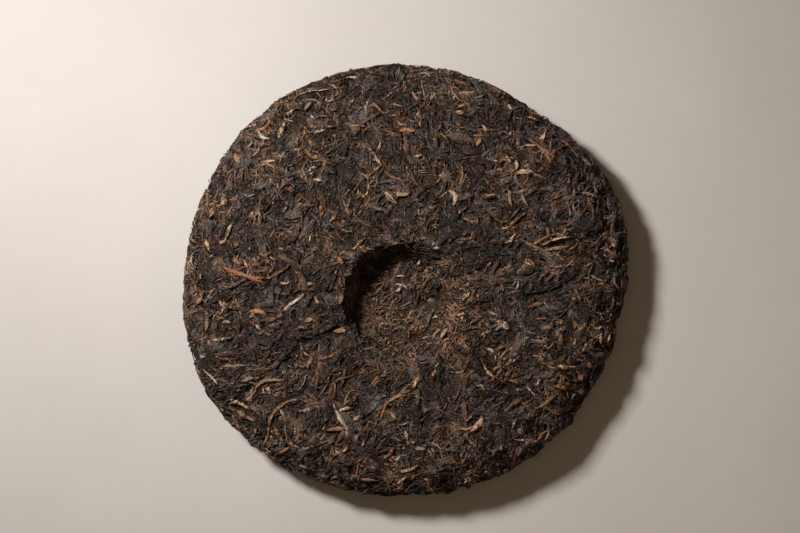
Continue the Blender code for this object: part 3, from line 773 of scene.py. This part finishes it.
def long_leaf(leaf, stations):
    """A leaf that runs through places: its start, heading, length, width and bends."""
    width, route = leaf[0], eased(np.array(leaf[1:], float).reshape(-1, 2))
    run = np.concatenate(([0], np.cumsum(np.hypot(*np.diff(route, axis=0).T))))
    along = station_shares(stations) * run[-1]
    steps = np.diff(np.column_stack([np.interp(along, run, route[:, k]) for k in (0, 1)]), axis=0)
    headings = np.unwrap(np.arctan2(steps[:, 1], steps[:, 0]))
    return (*route[0], headings[0], run[-1], width), np.append(np.diff(headings), 0)


def bent_leaf(x, y, heading, length, bend, width, stations, curl):
    """A leaf that bends evenly: its start, heading, length, width and bends."""
    bends = np.full(stations - 1, (math.radians(bend) + curl) / (stations - 1))
    return (x, y, math.radians(heading), length, width), bends


def shown_leaves(name, kind, draw):
    """The leaves of one kind that stand out in the photograph, laid on top of the others."""
    stations = kind["stations"]
    found, looks = [], []
    for label, (owner, tone, warmth) in SHADES.items():
        if owner != name:
            continue
        for leaf in SHOWN_LEAVES.get(label, ()):
            found.append(bent_leaf(*leaf, stations, draw.normal(0, SHOWN_CURL)))
            looks.append((tone, warmth))
        for leaf in LONG_LEAVES.get(label, ()):
            found.append(long_leaf(leaf, stations))
            looks.append((tone, warmth))
    if not found:
        return None
    x, y, heading, length, width = np.array([leaf for leaf, _ in found]).T
    bends = np.array([bend for _, bend in found]).T
    tone, warmth = np.array(looks).T
    count = len(found)
    return dict(
        starts=np.column_stack((x * MM, y * MM, np.full(count, CAKE_HEIGHT))),
        dips=np.full(count, SHOWN_DIP),
        headings=heading,
        lengths=length * MM,
        widths=SHOWN_WIDTH * width * MM,
        bends=(bends + draw.normal(0, 0.5 * WOBBLE, bends.shape)).T,
        rises=np.zeros(count),
        tones=tone + 0.5 * TONE_SPREAD * draw.uniform(-1, 1, count),
        warmths=warmth,
        depths=np.full(count, SHOWN_DEPTH),
        stands=np.full(count, SHOWN_STAND),
    )


def leaf_places(surface, kind, leaves, draw):
    """The vertices of many leaves, each with a tip, rings and a tip, and how light each vertex is."""
    count, stations = len(leaves["lengths"]), kind["stations"]
    centres, normals, ahead = lay_routes(surface, leaves)
    right = unit(np.cross(ahead, normals))
    steps = station_shares(stations)[:, None]
    point = draw.uniform(*kind["point"], count)
    lean = draw.uniform(*LEAN, count)
    fullness = np.sin(math.pi * steps**lean).clip(0) ** point
    fullness = fullness * draw.uniform(*WIDTH_WAVER, (stations, count))
    half_width = 0.5 * leaves["widths"] * fullness
    half_thick = half_width * draw.uniform(*kind["thick"], count)
    roll = draw.normal(0, ROLL_SPREAD, count)
    roll = roll + np.radians(kind["twist"]) * draw.uniform(-0.5, 0.5, count) * (steps - 0.5) * 2
    section = np.array(kind["sections"])[draw.integers(len(kind["sections"]), size=count)]
    section = section + draw.normal(0, SECTION_WAVER, section.shape)
    sideways = section[None, :, :, 0] * half_width[:, :, None]
    upright = section[None, :, :, 1] * half_thick[:, :, None]
    cosine, sine = np.cos(roll)[:, :, None], np.sin(roll)[:, :, None]
    across = sideways * cosine - upright * sine
    wave = math.tau * (steps * draw.uniform(*WAVES_ALONG, count) + draw.random(count))
    first, last = draw.uniform(*END_DIP, (2, count)) * leaves["dips"]
    level = leaves["depths"] - FURROW_DEPTH * furrow_at(centres)[0]
    level = level + draw.uniform(*WAVE_HEIGHT, count) * np.sin(wave)
    loose = looseness(centres)
    level = level - LOOSE_DEPTH * loose * draw.random(count)
    level = level - first * (1 - steps / DIP_REACH).clip(0) ** 2
    level = level - last * (1 - (1 - steps) / DIP_REACH).clip(0) ** 2
    above = sideways * sine + upright * cosine + level[:, :, None]
    stand = (leaves["stands"] * (1 - loose) + LOOSE_STAND * loose)[:, :, None]
    above = np.where(above > 0, stand * np.tanh(above / stand), above)
    shells = centres[:, :, None] + right[:, :, None] * across[..., None]
    shells = shells + normals[:, :, None] * above[..., None]
    tips = centres[(0, -1), :] + normals[(0, -1), :] * level[(0, -1), :, None]
    shells = shells[1:-1].transpose(1, 0, 2, 3).reshape(count, -1, 3)
    tips = tips.transpose(1, 0, 2)
    places = np.concatenate((tips[:, :1], shells, tips[:, 1:]), axis=1)
    lowest = draw.uniform(*LOWEST_LEAF, (count, 1))
    places[:, :, 2] = np.maximum(places[:, :, 2], lowest)
    sunk = (above[1:-1] / DEEP_REACH).clip(-1, 0).transpose(1, 0, 2).reshape(count, -1)
    tones = leaf_tones(leaves["tones"], section, steps[1:-1, 0], draw)
    # Painted shade on the parts of each leaf that lie below the mat's surface
    tones[:, 1:-1] += DEEP_PAINTED_SHADE * sunk
    return places, tones


def leaf_tones(tones, section, steps, draw):
    """How light each vertex is: ridges carry a painted highlight and undersides painted shade, one end of
    some leaves is lighter, and both ends carry painted shade.
    """
    count, points = section.shape[:2]
    tip = np.where(draw.random(count) < TIP_ODDS, TIP_LIGHT, 0)
    # Painted highlight on the upper points of each section and painted shade on the lower ones
    rings = tones[:, None, None] + RIDGE_PAINTED_SHADING * section[:, None, :, 1].clip(-1, 1)
    rings = rings + tip[:, None, None] * (steps**3)[None, :, None]
    # Painted shade towards both ends of every leaf, where the ends dip into the mat
    rings = rings - END_PAINTED_SHADE * ((1 - np.sin(math.pi * steps)) ** 2)[None, :, None]
    return np.column_stack((tones - END_PAINTED_SHADE, rings.reshape(count, -1), tones + tip - END_PAINTED_SHADE))


def leaf_faces(stations, points):
    """Quads and triangles of one leaf, with the station and the point round of each corner."""
    quads, triangles = [], []
    for ring in range(stations - 3):
        for k in range(points):
            quads.append(((ring, k), (ring + 1, k), (ring + 1, k + 1), (ring, k + 1)))
    last = stations - 3
    for k in range(points):
        triangles.append(((-1, k + 0.5), (0, k), (0, k + 1)))
        triangles.append(((last + 1, k + 0.5), (last, k + 1), (last, k)))
    return np.array(quads, float), np.array(triangles, float)


def leaf_indices(corners, stations, points):
    """Vertex numbers in a leaf for corners given by station and point round."""
    ring, point = corners[..., 0].astype(int), corners[..., 1]
    index = 1 + ring * points + point.astype(int) % points
    index = np.where(ring < 0, 0, index)
    return np.where(ring > stations - 3, 1 + (stations - 2) * points, index)


def leaf_mesh(name, kind, places, leaves, tones, draw):
    """One mesh of many leaves, with their tones and warmths and two maps of their surface."""
    count, per_leaf = places.shape[:2]
    stations, points = kind["stations"], len(kind["sections"][0])
    quads, triangles = leaf_faces(stations, points)
    shift = np.arange(count)[:, None, None] * per_leaf
    all_quads = (leaf_indices(quads, stations, points)[None] + shift).reshape(-1, 4)
    all_triangles = (leaf_indices(triangles, stations, points)[None] + shift).reshape(-1, 3)
    mesh = bpy.data.meshes.new(name)
    fill_mesh(mesh, places.reshape(-1, 3), all_quads, all_triangles)
    for label, values in (("tone", tones.ravel()), ("warmth", np.repeat(leaves["warmths"], per_leaf))):
        layer = mesh.attributes.new(label, "FLOAT", "POINT")
        layer.data.foreach_set("value", values.astype(np.float32))
    add_leaf_maps(mesh, (quads, triangles), (stations, points), leaves, draw)
    return mesh


def add_leaf_maps(mesh, faces, grid, leaves, draw):
    """Maps along and round each leaf: one in millimetres, one with a cell for each leaf."""
    count = len(leaves["lengths"])
    start = draw.uniform(0, MAP_START, (count, 1, 1))
    length = leaves["lengths"][:, None, None] / MM
    girth = GIRTH * leaves["widths"][:, None, None] / MM
    side = math.ceil(math.sqrt(count))
    row, column = np.divmod(np.arange(count), side)
    cell = np.stack((column, row), axis=1)[:, None, None, :]
    millimetres, cells = [], []
    for corners in faces:
        along = (corners[..., 0] + 1) / (grid[0] - 1)
        around = corners[..., 1] / grid[1]
        whole = np.stack((around[None] * girth + start, along[None] * length), -1)
        inset = np.stack((around, along), -1) * (1 - 2 * CELL_EDGE) + CELL_EDGE
        millimetres.append(whole.reshape(-1, 2))
        cells.append(((inset[None] + cell) / side).reshape(-1, 2))
    for name, values in (("OFBake", cells), ("leaf_mm", millimetres)):
        layer = mesh.uv_layers.new(name=name)
        layer.uv.foreach_set("vector", np.concatenate(values).astype(np.float32).ravel())


def inside_box(places):
    """Which leaves stay inside the solid's box."""
    low, high = np.array(SOLID_LOW) + BOX_CLEAR, np.array(SOLID_HIGH) - BOX_CLEAR
    low[2] = SOLID_LOW[2]
    return np.all((places > low) & (places < high), axis=(1, 2))


class Nodes:
    """Makes and links the nodes of one material."""

    def __init__(self, name):
        self.material = bpy.data.materials.new(name)
        self.material.use_nodes = True
        self.tree = self.material.node_tree
        self.shader = self.tree.nodes["Principled BSDF"]

    def add(self, kind, inputs=(), **settings):
        node = self.tree.nodes.new(kind)
        for setting, value in settings.items():
            setattr(node, setting, value)
        for socket, value in dict(inputs).items():
            self.set(node.inputs[socket], value)
        return node

    def set(self, socket, value):
        if isinstance(value, bpy.types.NodeSocket):
            self.tree.links.new(value, socket)
        else:
            socket.default_value = value

    def attribute(self, name):
        return self.add("ShaderNodeAttribute", attribute_name=name).outputs["Fac"]

    def maths(self, operation, first, second=0, third=0):
        node = self.add("ShaderNodeMath", {0: first, 1: second, 2: third}, operation=operation)
        return node.outputs[0]

    def mean(self, first, second):
        return self.maths("MULTIPLY_ADD", first, 0.5, self.maths("MULTIPLY", second, 0.5))

    def varied(self, value, pattern, strength):
        """The value made lighter and darker by a pattern that has a mean of one half."""
        lowered = self.maths("SUBTRACT", value, 0.5 * strength)
        return self.maths("MULTIPLY_ADD", pattern, strength, lowered)

    def sharpened(self, value, low, high):
        """The value stretched so that low becomes 0 and high becomes 1."""
        inputs = {"Value": value, "From Min": low, "From Max": high}
        return self.add("ShaderNodeMapRange", inputs).outputs["Result"]

    def ramp(self, factor, stops):
        node = self.add("ShaderNodeValToRGB", {"Fac": factor})
        elements = node.color_ramp.elements
        while len(elements) < len(stops):
            elements.new(0.5)
        for element, (position, colour) in zip(elements, stops):
            element.position = position
            element.color = (*colour, 1)
        return node.outputs["Color"]

    def mix(self, factor, first, second):
        node = self.add("ShaderNodeMix", {0: factor, 6: first, 7: second}, data_type="RGBA")
        return node.outputs[2]

    def noise(self, vector, scale, detail, distortion=0):
        inputs = {"Vector": vector, "Scale": scale, "Detail": detail, "Distortion": distortion}
        inputs["Roughness"] = NOISE_ROUGHNESS
        return self.add("ShaderNodeTexNoise", inputs).outputs["Fac"]

    def scaled(self, vector, scale):
        return self.add("ShaderNodeMapping", {"Vector": vector, "Scale": scale}).outputs["Vector"]

    def finish(self, colour, gloss, relief, height):
        """Gives the surface its colour, its gloss and a relief of this height."""
        self.set(self.shader.inputs["Base Color"], colour)
        self.shader.inputs["Specular IOR Level"].default_value = gloss
        bump = self.add("ShaderNodeBump", {"Strength": 1, "Distance": height, "Height": relief})
        self.set(self.shader.inputs["Normal"], bump.outputs["Normal"])


# Colours of dry leaf in linear light at these tones, in a cool and a warm run for each kind
RUN_TONES = (0, 0.5, 1)
LEAF_COLOURS = {
    "broad_leaves": (
        ((0.006, 0.0032, 0.0019), (0.02, 0.0166, 0.0164), (0.094, 0.083, 0.081)),
        ((0.0085, 0.0028, 0.0008), (0.037, 0.0148, 0.0058), (0.154, 0.087, 0.054)),
    ),
    "dark_leaves": (
        ((0.0054, 0.0029, 0.0018), (0.0182, 0.0151, 0.015), (0.09, 0.08, 0.079)),
        ((0.0075, 0.0024, 0.0007), (0.033, 0.0128, 0.005), (0.14, 0.078, 0.047)),
    ),
    "umber_leaves": (
        ((0.007, 0.0038, 0.0022), (0.0275, 0.0208, 0.018), (0.116, 0.092, 0.08)),
        ((0.0105, 0.0031, 0.0008), (0.049, 0.0174, 0.0063), (0.192, 0.099, 0.055)),
    ),
    "brown_leaves": (
        ((0.0135, 0.0072, 0.0038), (0.061, 0.043, 0.033), (0.24, 0.185, 0.147)),
        ((0.019, 0.0053, 0.0013), (0.115, 0.0395, 0.0132), (0.372, 0.204, 0.112)),
    ),
    "golden_buds": (
        ((0.024, 0.014, 0.008), (0.15, 0.109, 0.076), (0.57, 0.475, 0.385)),
        ((0.03, 0.0105, 0.0032), (0.195, 0.096, 0.041), (0.585, 0.412, 0.275)),
    ),
    "stems": (
        ((0.025, 0.013, 0.008), (0.085, 0.048, 0.032), (0.23, 0.15, 0.105)),
        ((0.033, 0.0095, 0.0032), (0.135, 0.039, 0.0135), (0.32, 0.128, 0.06)),
    ),
    "broken_flakes": (
        ((0.0095, 0.0058, 0.0032), (0.058, 0.043, 0.032), (0.33, 0.27, 0.208)),
        ((0.014, 0.0052, 0.0014), (0.09, 0.0445, 0.0185), (0.392, 0.262, 0.16)),
    ),
    "leaf_shreds": (
        ((0.0062, 0.0036, 0.0022), (0.0275, 0.0212, 0.0182), (0.192, 0.16, 0.137)),
        ((0.0098, 0.0034, 0.0009), (0.052, 0.025, 0.01), (0.288, 0.182, 0.109)),
    ),
}
# The core's colours along its fibre pattern: darker than most leaves, partly the packed leaf's own colour
# and partly painted shade in the gaps between leaves
CORE_COLOURS_AND_PAINTED_SHADE = ((0.1, (0.005, 0.002, 0.0007)), (0.5, (0.017, 0.01, 0.0062)), (0.95, (0.066, 0.042, 0.027)))
# How fine patterns on a leaf are across and along it, for each millimetre
WRINKLES = (0.85, 0.4, 1)
STREAKS = (0.9, 0.22, 1)
# Noises: scale, detail and distortion, and how rough they are
WRINKLE_NOISE = (1, 2, 0.9)
STREAK_NOISE = (1, 2)
MOTTLE_NOISE = (1000, 2, 1.2)
FIBRE_NOISE = (1, 2, 0.8)
WARM_NOISE = (110, 4)
NOISE_ROUGHNESS = 0.6
# The part of a noise's range that a pattern uses
WRINKLE_RANGE = (0.36, 0.64)
MOTTLE_RANGE = (0.38, 0.62)
# How much the patterns vary the tone and the warmth, and blotches with their scale, detail and strength
# The relief that raises the bump also darkens the tone in its hollows and lightens it on its crests, as
# painted shade and highlight
RELIEF_PAINTED_SHADING = 1.5
STREAK_STRENGTH = 1
STREAK_WARMTH = 2.2
WARM_STRENGTH = 5
BLOTCHES = ((420, 2, 1.8), (170, 2, 2.2), (75, 2, 2))
RELIEF_HEIGHT = 0.8 * MM
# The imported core: the sizes of its patches and its fibres, each for a metre, and its finish
CORE_PATTERNS = ((300, 1100), (160, 700))
PATCH_TURNS = 9
FIBRE_STRETCH = (1, 0.3, 0.6)
CORE_ROUGHNESS = 0.6
CORE_GLOSS = 0.35
CORE_RELIEF_HEIGHT = 0.9 * MM


def leaf_material(name, rough, gloss):
    """Dry twisted leaf: veins and wrinkles run along it, its tone differs from leaf to leaf, and its
    wrinkles carry painted shade in their hollows and a painted highlight on their crests.
    """
    nodes = Nodes(name)
    tone, warmth = nodes.attribute("tone"), nodes.attribute("warmth")
    map_mm = nodes.add("ShaderNodeUVMap", uv_map="leaf_mm").outputs["UV"]
    where = nodes.add("ShaderNodeTexCoord").outputs["Object"]
    wrinkles = nodes.noise(nodes.scaled(map_mm, WRINKLES), *WRINKLE_NOISE)
    mottle = nodes.noise(where, *MOTTLE_NOISE)
    relief = nodes.mean(nodes.sharpened(mottle, *MOTTLE_RANGE), nodes.sharpened(wrinkles, *WRINKLE_RANGE))
    streaks = nodes.noise(nodes.scaled(map_mm, STREAKS), *STREAK_NOISE)
    # Painted shade and highlight from the relief, then the streaks of the leaf's own colour
    value = nodes.varied(nodes.varied(tone, relief, RELIEF_PAINTED_SHADING), streaks, STREAK_STRENGTH)
    for scale, detail, strength in BLOTCHES:
        value = nodes.varied(value, nodes.noise(where, scale, detail), strength)
    warm = nodes.varied(warmth, streaks, STREAK_WARMTH)
    warm = nodes.varied(warm, nodes.noise(where, *WARM_NOISE), WARM_STRENGTH)
    cool_run, warm_run = (nodes.ramp(value, tuple(zip(RUN_TONES, run))) for run in LEAF_COLOURS[name])
    nodes.finish(nodes.mix(warm, cool_run, warm_run), gloss, relief, RELIEF_HEIGHT)
    roughness = nodes.add("ShaderNodeMapRange", {"Value": relief, "To Min": rough[0], "To Max": rough[1]})
    nodes.set(nodes.shader.inputs["Roughness"], roughness.outputs["Result"])
    return nodes.material


def fibres(nodes, where, patches, across):
    """Fine fibres that lie another way in each small patch."""
    patch = nodes.add("ShaderNodeTexVoronoi", {"Vector": where, "Scale": patches})
    angle = nodes.maths("MULTIPLY", patch.outputs["Color"], PATCH_TURNS)
    spun = nodes.add("ShaderNodeVectorRotate", {"Vector": where, "Angle": angle}, rotation_type="Z_AXIS")
    stretched = nodes.scaled(spun.outputs["Vector"], [across * stretch for stretch in FIBRE_STRETCH])
    return nodes.sharpened(nodes.noise(stretched, *FIBRE_NOISE), *WRINKLE_RANGE)


def core_material():
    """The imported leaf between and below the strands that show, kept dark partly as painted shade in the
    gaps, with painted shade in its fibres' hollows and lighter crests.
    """
    nodes = Nodes("packed_leaf")
    where = nodes.add("ShaderNodeTexCoord").outputs["Object"]
    shreds = nodes.mean(*(fibres(nodes, where, *pattern) for pattern in CORE_PATTERNS))
    # The fibre pattern that raises the bump also sets the colour: painted shade in its hollows, lighter on
    # its crests
    nodes.finish(nodes.ramp(shreds, CORE_COLOURS_AND_PAINTED_SHADE), CORE_GLOSS, shreds, CORE_RELIEF_HEIGHT)
    nodes.shader.inputs["Roughness"].default_value = CORE_ROUGHNESS
    return nodes.material


def make_core(rings, normals):
    """The cake's body under its leaves."""
    flat = rings.reshape(-1, 3)
    relief = CORE_RELIEF * noise_at(flat, CORE_RELIEF_LENGTH) - CORE_INSET
    relief = relief - CORE_FURROW_DEPTH * furrow_at(flat)[0] - LOOSE_DEPTH * looseness(flat)
    core_rings = rings + normals * relief.reshape(len(rings), RING_POINTS, 1)
    core_rings[:, :, 2] = np.maximum(core_rings[:, :, 2], SOLID_LOW[2])
    piece = as_piece("pressed_core", ring_mesh("pressed_core", core_rings), core_material())
    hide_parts("tea_cake")


def make_leaves(surface, rings, normals):
    """Every kind of leaf, each as one piece."""
    for index, (name, kind) in enumerate(KINDS.items()):
        draw = np.random.default_rng(LEAF_SEED + index)
        leaves = draw_leaves(rings, normals, kind, draw)
        shown = shown_leaves(name, kind, draw)
        if shown:
            leaves = {label: np.concatenate((leaves[label], shown[label])) for label in leaves}
        places, tones = leaf_places(surface, kind, leaves, draw)
        kept = inside_box(places)
        leaves = {label: values[kept] for label, values in leaves.items()}
        mesh = leaf_mesh(name, kind, places[kept], leaves, tones[kept], draw)
        as_piece(name, mesh, leaf_material(name, kind["rough"], kind["gloss"]))


# The camera looks down on the cake, a little from the photograph's lower right
CAMERA_LENS = 90
CAMERA_ELEVATION = math.radians(85)
CAMERA_AZIMUTH = math.radians(35)
CAMERA_DISTANCE = 0.88
CAMERA_AIM = Vector((-2.2 * MM, 5 * MM, 18 * MM))
# Square soft lights: place, aim, side, spread in degrees, power in watts and colour
LIGHTS = {
    "key": ((-0.49, 0.388, 0.576), (-0.08, 0.062, 0.015), 0.16, 74, 2.22, (1, 0.905, 0.83)),
    "fill": ((-0.1, -0.1, 1.4), (0, 0, 0.015), 1, 180, 0.8, (1, 0.75, 0.52)),
    "bounce": ((0.46, -0.36, 0.42), (0, 0, 0.015), 0.4, 120, 0.2, (1, 0.66, 0.36)),
}
WORLD_COLOUR = (1, 0.74, 0.47, 1)
WORLD_STRENGTH = 0.055
# The floor: how far it reaches, how far it lies below the cake, its faint mottle and its finish
FLOOR_REACH = 3
FLOOR_DROP = 0.1 * MM
FLOOR_NOISE = (9, 4)
FLOOR_COLOURS = ((0.3, (0.42, 0.425, 0.43)), (0.7, (0.45, 0.455, 0.46)))
FLOOR_ROUGHNESS = 0.85


def add_camera():
    data = bpy.data.cameras.new("camera")
    data.lens = CAMERA_LENS
    camera = placed("camera", data)
    back = Vector((
        math.sin(CAMERA_AZIMUTH) * math.cos(CAMERA_ELEVATION),
        -math.cos(CAMERA_AZIMUTH) * math.cos(CAMERA_ELEVATION),
        math.sin(CAMERA_ELEVATION),
    ))
    right = Vector((0, 1, 0)).cross(back).normalized()
    turn = Matrix((right, back.cross(right), back)).transposed()
    camera.matrix_world = Matrix.Translation(CAMERA_AIM + back * CAMERA_DISTANCE) @ turn.to_4x4()
    bpy.context.scene.camera = camera


def add_area_light(name, place, aim, size, spread, power, colour):
    """A square soft light."""
    data = bpy.data.lights.new(name, "AREA")
    data.size = size
    data.spread = math.radians(spread)
    data.energy = power
    data.color = colour
    light = placed(name, data)
    light.location = place
    light.rotation_mode = "QUATERNION"
    light.rotation_quaternion = (Vector(aim) - Vector(place)).to_track_quat("-Z", "Y")


def add_lights():
    for name, settings in LIGHTS.items():
        add_area_light(name, *settings)
    world = bpy.data.worlds.new("studio")
    world.use_nodes = True
    background = world.node_tree.nodes["Background"].inputs
    background["Color"].default_value = WORLD_COLOUR
    background["Strength"].default_value = WORLD_STRENGTH
    bpy.context.scene.world = world


def add_floor():
    """A plain pale floor."""
    mesh = bpy.data.meshes.new("floor")
    corners = [(FLOOR_REACH * x, FLOOR_REACH * y, 0) for x, y in ((-1, -1), (1, -1), (1, 1), (-1, 1))]
    mesh.from_pydata(corners, (), ((0, 1, 2, 3),))
    floor = placed("floor", mesh)
    floor.location.z = -FLOOR_DROP
    nodes = Nodes("pale_floor")
    where = nodes.add("ShaderNodeTexCoord").outputs["Object"]
    mottle = nodes.noise(where, *FLOOR_NOISE)
    nodes.set(nodes.shader.inputs["Base Color"], nodes.ramp(mottle, FLOOR_COLOURS))
    nodes.shader.inputs["Roughness"].default_value = FLOOR_ROUGHNESS
    mesh.materials.append(nodes.material)


def build():
    rings, normals = mat_surface()
    rings[:, :, 2] = np.maximum(rings[:, :, 2], SOLID_LOW[2])
    guide = ring_mesh("guide", rings)
    places = [vertex.co.copy() for vertex in guide.vertices]
    surface = BVHTree.FromPolygons(places, [tuple(face.vertices) for face in guide.polygons])
    bpy.data.meshes.remove(guide)
    make_core(rings, normals)
    make_leaves(surface, rings, normals)
    add_camera()
    add_lights()
    add_floor()
    bpy.context.scene.view_settings.view_transform = "Standard"
    bpy.context.view_layer.update()


build()
